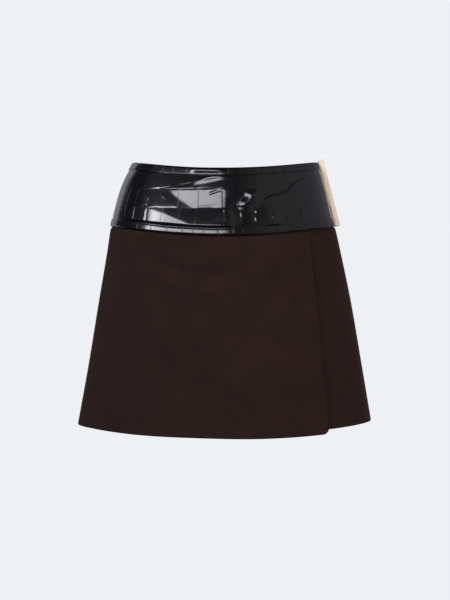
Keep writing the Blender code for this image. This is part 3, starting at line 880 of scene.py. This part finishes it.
class Graph:
    """The node tree of a material or a world, with short calls for what is needed here."""

    def __init__(self, owner):
        self.owner = owner
        owner.use_nodes = True
        self.tree = owner.node_tree

    def fill(self, node, sockets):
        """Links each of these sockets to an output, or sets it to a plain value."""
        for socket, value in sockets.items():
            if isinstance(value, bpy.types.NodeSocket):
                self.tree.links.new(value, node.inputs[socket])
            else:
                node.inputs[socket].default_value = value

    def add(self, kind, sockets=None, **settings):
        node = self.tree.nodes.new(kind)
        for key, value in settings.items():
            setattr(node, key, value)
        self.fill(node, sockets or {})
        return node

    def shade(self, **values):
        """Fills the shader's own sockets; an underscore stands for a space."""
        shader = self.tree.nodes["Principled BSDF"]
        self.fill(shader, {key.replace("_", " "): value for key, value in values.items()})
        return self.owner

    def place(self, stretch=(1, 1, 1)):
        """Object coordinates in metres, stretched along the axes."""
        whole = self.add("ShaderNodeTexCoord").outputs["Object"]
        return self.add("ShaderNodeMapping", {"Vector": whole, "Scale": stretch}).outputs["Vector"]

    def noise(self, size, detail=3.0, roughness=0.5, vector=None, distortion=0.0):
        """A noise whose features are about this many millimetres across."""
        sockets = {
            "Vector": vector or self.place(),
            "Scale": 1 / (size * MM),
            "Detail": detail,
            "Roughness": roughness,
            "Distortion": distortion,
        }
        return self.add("ShaderNodeTexNoise", sockets).outputs["Fac"]

    def ramp(self, factor, *stops):
        """A colour ramp with (position, colour) stops."""
        ramp = self.add("ShaderNodeValToRGB", {"Fac": factor})
        elements = ramp.color_ramp.elements
        while len(elements) < len(stops):
            elements.new(0.5)
        for element, (position, colour) in zip(elements, stops):
            element.position = position
            element.color = (*colour, 1)
        return ramp.outputs["Color"]

    def mix(self, factor, first, second, blend="MIX"):
        sockets = {0: factor, 6: first, 7: second}
        return self.add("ShaderNodeMix", sockets, data_type="RGBA", blend_type=blend).outputs[2]

    def maths(self, operation, *values):
        return self.add("ShaderNodeMath", dict(enumerate(values)), operation=operation).outputs[0]

    def attribute(self, name):
        return self.add("ShaderNodeAttribute", attribute_name=name).outputs["Fac"]

    def bump(self, height, depth, strength=1.0, below=None):
        """A bump of this many millimetres for a height of 1, over another bump where one is given."""
        sockets = {"Distance": depth * MM, "Strength": strength, "Height": height}
        if below is not None:
            sockets["Normal"] = below
        return self.add("ShaderNodeBump", sockets).outputs["Normal"]


def wool_material():
    """Dense brown coating wool, brushed to a short nap: fine fibres, a slight mottle and a soft sheen."""
    graph = Graph(bpy.data.materials.new("brown wool"))
    fibres = graph.noise(0.55, detail=4, roughness=0.7, distortion=0.6)
    felt = graph.noise(2.6, detail=3, roughness=0.55)
    patches = graph.noise(38, detail=2)
    tone = graph.mix(0.5, felt, fibres)
    colour = graph.ramp(tone, (0.3, (0.0152, 0.0075, 0.0067)), (0.7, (0.0232, 0.0122, 0.0109)))
    warmer = graph.ramp(patches, (0.3, (0.92, 0.92, 0.93)), (0.7, (1.08, 1.06, 1.04)))
    return graph.shade(
        Base_Color=graph.mix(1, colour, warmer, "MULTIPLY"),
        Roughness=graph.maths("MULTIPLY_ADD", fibres, 0.12, 0.84),
        Normal=graph.bump(fibres, 0.12, 0.5, graph.bump(felt, 0.16, 0.6)),
        Specular_IOR_Level=0.1,
        Sheen_Weight=0.05,
        Sheen_Roughness=0.45,
        Sheen_Tint=(0.7, 0.5, 0.46, 1),
    )


def leather_material(name, grain_depth):
    """Black patent leather: a hard glossy coat over the scales, dull in the grooves and finely creased; the
    grooves' colour is also darkened as painted shade.
    """
    graph = Graph(bpy.data.materials.new(name))
    groove = graph.attribute("groove")
    grain = graph.noise(1.6, detail=3, roughness=0.6)
    grain = graph.maths("MULTIPLY", grain, graph.maths("MULTIPLY_ADD", graph.attribute("grain"), 5.0, 1.0))
    ripple = graph.noise(7, detail=2, roughness=0.5)
    return graph.shade(
        # Painted shade: the base colour is darker in the grooves, by the groove mask.
        Base_Color=graph.ramp(groove, (0.0, (0.0046, 0.0047, 0.0054)), (1.0, (0.0024, 0.0024, 0.0027))),
        Roughness=graph.maths("MULTIPLY_ADD", groove, 0.3, 0.15),
        Normal=graph.bump(grain, grain_depth, below=graph.bump(ripple, 0.035)),
        Specular_IOR_Level=0.45,
        Coat_Weight=graph.maths("MULTIPLY_ADD", groove, -0.6, 0.65),
        Coat_Roughness=0.06,
    )


def lining_material():
    """The leather's matt inner side."""
    graph = Graph(bpy.data.materials.new("leather flesh side"))
    nap = graph.noise(0.8, detail=4, roughness=0.7)
    return graph.shade(
        Base_Color=graph.ramp(nap, (0.3, (0.008, 0.0075, 0.0075)), (0.7, (0.016, 0.015, 0.0148))),
        Roughness=graph.maths("MULTIPLY_ADD", nap, 0.1, 0.78),
        Normal=graph.bump(nap, 0.1, 0.5),
        Specular_IOR_Level=0.25,
    )


def metal_material():
    """Satin pale gold, brushed along the bar."""
    graph = Graph(bpy.data.materials.new("pale gold metal"))
    brushed = graph.noise(0.5, detail=3, roughness=0.6, vector=graph.place((1, 1, 0.03)))
    worn = graph.noise(14, detail=2)
    return graph.shade(
        Base_Color=graph.ramp(worn, (0.3, (0.88, 0.71, 0.57)), (0.7, (0.93, 0.755, 0.61))),
        Roughness=graph.maths("MULTIPLY_ADD", brushed, 0.14, 0.42),
        Normal=graph.bump(brushed, 0.02, 0.4),
        Metallic=0.3,
    )


def thread_material():
    """Black sewing thread with its twist."""
    graph = Graph(bpy.data.materials.new("black thread"))
    twist = graph.noise(0.35, detail=2)
    return graph.shade(
        Base_Color=graph.ramp(twist, (0.3, (0.006, 0.006, 0.007)), (0.7, (0.02, 0.02, 0.022))),
        Roughness=graph.maths("MULTIPLY_ADD", twist, 0.2, 0.45),
        Normal=graph.bump(twist, 0.08, 0.6),
    )


def floor_material():
    graph = Graph(bpy.data.materials.new("pale floor"))
    mottle = graph.ramp(graph.noise(300), (0.0, (0.8, 0.81, 0.83)), (1.0, (0.82, 0.83, 0.85)))
    return graph.shade(Base_Color=mottle, Roughness=0.8)


# Scene

BACKDROP = (0.855, 0.871, 0.905)

# What glossy surfaces mirror all round, as (azimuth, colour) pairs: 0 is in front, 90 at the wearer's left.
STUDIO_WALLS = [
    (-180, (0.12, 0.12, 0.14)),
    (-152, (0.4, 0.405, 0.45)),
    (-136, (0.6, 0.61, 0.69)),
    (-125, (0.03, 0.03, 0.045)),
    (-92, (0.02, 0.02, 0.03)),
    (-76, (0.15, 0.155, 0.165)),
    (-50, (0.06, 0.06, 0.063)),
    (12, (0.035, 0.035, 0.038)),
    (34, (0.24, 0.235, 0.245)),
    (75, (0.24, 0.24, 0.255)),
    (125, (0.2, 0.2, 0.23)),
    (180, (0.12, 0.12, 0.14)),
]
WALL_HEIGHT, WALL_HALF, WALL_SOFT = 10, 36, 10
# A soft-edged bright panel in front, placed as the walls are.
SOFTBOX_AZIMUTH, SOFTBOX_HEIGHT = -34, 16.5
SOFTBOX_HALF_WIDTH, SOFTBOX_HALF_HEIGHT, SOFTBOX_SOFT = 32, 7.5, 6
SOFTBOX_STRENGTH = 128
CAMERA_AWAY, CAMERA_DROP, CAMERA_ASIDE = 2600.0, 204.2, 0.3
LENS, SENSOR = 105.4, 36.0
FLOOR_DROP, FLOOR_RADIUS = 1500.0, 3000.0


def add_camera():
    camera = bpy.data.objects.new("camera", bpy.data.cameras.new("camera"))
    bpy.context.scene.collection.objects.link(camera)
    camera.location = (CAMERA_ASIDE * MM, -CAMERA_AWAY * MM, -CAMERA_DROP * MM)
    camera.rotation_euler = (math.pi / 2, 0, 0)
    camera.data.lens = LENS
    camera.data.sensor_width = SENSOR
    bpy.context.scene.camera = camera


def add_light(name, azimuth, height, away, size, watts):
    """A soft square light for the cloth, out of sight of glossy surfaces; azimuth 0 is in front."""
    data = bpy.data.lights.new(name, "AREA")
    data.shape = "SQUARE"
    data.size = size * MM
    data.energy = watts
    light = bpy.data.objects.new(name, data)
    bpy.context.scene.collection.objects.link(light)
    turn = math.radians(azimuth)
    light.location = (away * math.sin(turn) * MM, -away * math.cos(turn) * MM, height * MM)
    pitch = math.atan2(height + CAMERA_DROP, away)
    light.rotation_euler = (math.pi / 2 - pitch, 0, turn)
    light.visible_camera = False
    light.visible_glossy = False


def add_world():
    """The pale backdrop for the camera, and round it the studio that glossy surfaces mirror."""
    world = bpy.data.worlds.new("studio")
    graph = Graph(world)
    direction = graph.add("ShaderNodeTexCoord").outputs["Generated"]
    x, y, z = graph.add("ShaderNodeSeparateXYZ", {"Vector": direction}).outputs
    azimuth = graph.maths("DEGREES", graph.maths("ARCTAN2", x, graph.maths("MULTIPLY", y, -1.0)))
    height = graph.maths("DEGREES", graph.maths("ARCSINE", z))

    round_it = graph.maths("MULTIPLY_ADD", azimuth, 1 / 360, 0.5)
    walls = graph.ramp(round_it, *[((place + 180) / 360, colour) for place, colour in STUDIO_WALLS])

    def within(value, middle, half, soft):
        away = graph.maths("ABSOLUTE", graph.maths("SUBTRACT", value, middle))
        sockets = {"Value": away, "From Min": half + soft, "From Max": half - soft, "To Min": 0, "To Max": 1}
        return graph.add("ShaderNodeMapRange", sockets, interpolation_type="SMOOTHSTEP").outputs["Result"]

    box_across = within(azimuth, SOFTBOX_AZIMUTH, SOFTBOX_HALF_WIDTH, SOFTBOX_SOFT)
    box_up = within(height, SOFTBOX_HEIGHT, SOFTBOX_HALF_HEIGHT, SOFTBOX_SOFT / 2)
    wall = within(height, WALL_HEIGHT, WALL_HALF, WALL_SOFT)
    shine = graph.maths("MULTIPLY_ADD", graph.maths("MULTIPLY", box_across, box_up), SOFTBOX_STRENGTH, wall)
    mirrored = graph.add("ShaderNodeBackground", {"Color": walls, "Strength": shine})
    seen = graph.add("ShaderNodeBackground", {"Color": (*BACKDROP, 1)})
    seen_directly = graph.add("ShaderNodeLightPath").outputs["Is Camera Ray"]
    mix = graph.add("ShaderNodeMixShader", {0: seen_directly, 1: mirrored.outputs[0], 2: seen.outputs[0]})
    graph.fill(graph.tree.nodes["World Output"], {"Surface": mix.outputs[0]})
    bpy.context.scene.world = world
    world.cycles_visibility.diffuse = False


def add_floor():
    bpy.ops.mesh.primitive_circle_add(vertices=96, radius=FLOOR_RADIUS * MM, fill_type="NGON")
    floor = bpy.context.object
    floor.name = "floor"
    floor.location = (0, 0, -FLOOR_DROP * MM)
    floor.data.materials.append(floor_material())
    floor.visible_glossy = False


def add_studio():
    add_camera()
    add_world()
    add_floor()
    add_light("key", azimuth=-36, height=1800, away=1800, size=500, watts=48)
    add_light("front fill", azimuth=22, height=500, away=2600, size=800, watts=37)
    add_light("fill", azimuth=72, height=150, away=2600, size=1500, watts=20)
    add_light("left fill", azimuth=-80, height=200, away=2600, size=1500, watts=12)
    add_light("back key", azimuth=150, height=1250, away=2400, size=1600, watts=50)
    bpy.context.scene.view_settings.view_transform = "Standard"


def dress_skirt(frame):
    """The pieces that replace the solids, by node, with the stitches beside them and the bar in its metal."""
    wool, lining = wool_material(), lining_material()
    leather = leather_material("black patent leather", grain_depth=0.02)
    bound = leather_material("creased patent leather", grain_depth=0.12)
    metal, thread = metal_material(), thread_material()
    front_end, back_start = RIGHT_SEAM - HALF_SEAM, RIGHT_SEAM + HALF_SEAM
    under_start, back_end = seam_at(LEFT_SEAM + HALF_SEAM), seam_at(360 + LEFT_SEAM - HALF_SEAM)
    pieces = {
        "front_wrap_panel": wool_panel(
            "wool_wrap_panel", wrap_edge, seam_at(front_end), wrap_hem, wrap_out, wool, WRAP_CORNER
        ),
        "front_underlap_panel": wool_panel(
            "wool_underlap_panel", under_start, hidden_edge, underlap_hem, underlap_out, wool
        ),
        "back_panel": wool_panel("wool_back_panel", seam_at(back_start), back_end, back_hem, tuck, wool),
        "waistband_front": band_panel("leather_band_front", HALF_SEAM, front_end, [leather, lining]),
        "waistband_back": band_panel("leather_band_back", back_start, 360 - HALF_SEAM, [leather, lining]),
        "binding_top": strip(
            "leather_top_strip", top_strip_profile(), band_top, TOP_FULLNESS, SEED + 1, leather
        ),
        "binding_foot": strip(
            "leather_foot_strip", foot_strip_profile(), band_foot, FOOT_FULLNESS, SEED + 2, bound
        ),
    }
    for node, piece in pieces.items():
        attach(piece, "root")
        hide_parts(node)

    inner_edge = BINDING_WIDTH - STITCH_FROM_EDGE
    for name, edge, up in (("top_stitches", band_top, -inner_edge), ("foot_stitches", band_foot, inner_edge)):
        sewn = stitches(name, edge, up, thread)
        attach(sewn, "root")

    bar = frame["nodes"]["side_bar"]
    bar.data.materials.clear()
    bar.data.materials.append(metal)
    return pieces


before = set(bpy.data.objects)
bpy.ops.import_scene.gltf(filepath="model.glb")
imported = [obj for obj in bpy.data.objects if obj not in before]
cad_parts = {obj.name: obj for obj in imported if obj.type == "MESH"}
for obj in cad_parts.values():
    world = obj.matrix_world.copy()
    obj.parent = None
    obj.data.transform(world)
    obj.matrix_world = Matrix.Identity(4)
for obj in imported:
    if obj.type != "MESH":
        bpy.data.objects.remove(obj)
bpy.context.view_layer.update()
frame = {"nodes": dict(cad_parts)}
add_studio()
dressed = dress_skirt(frame)
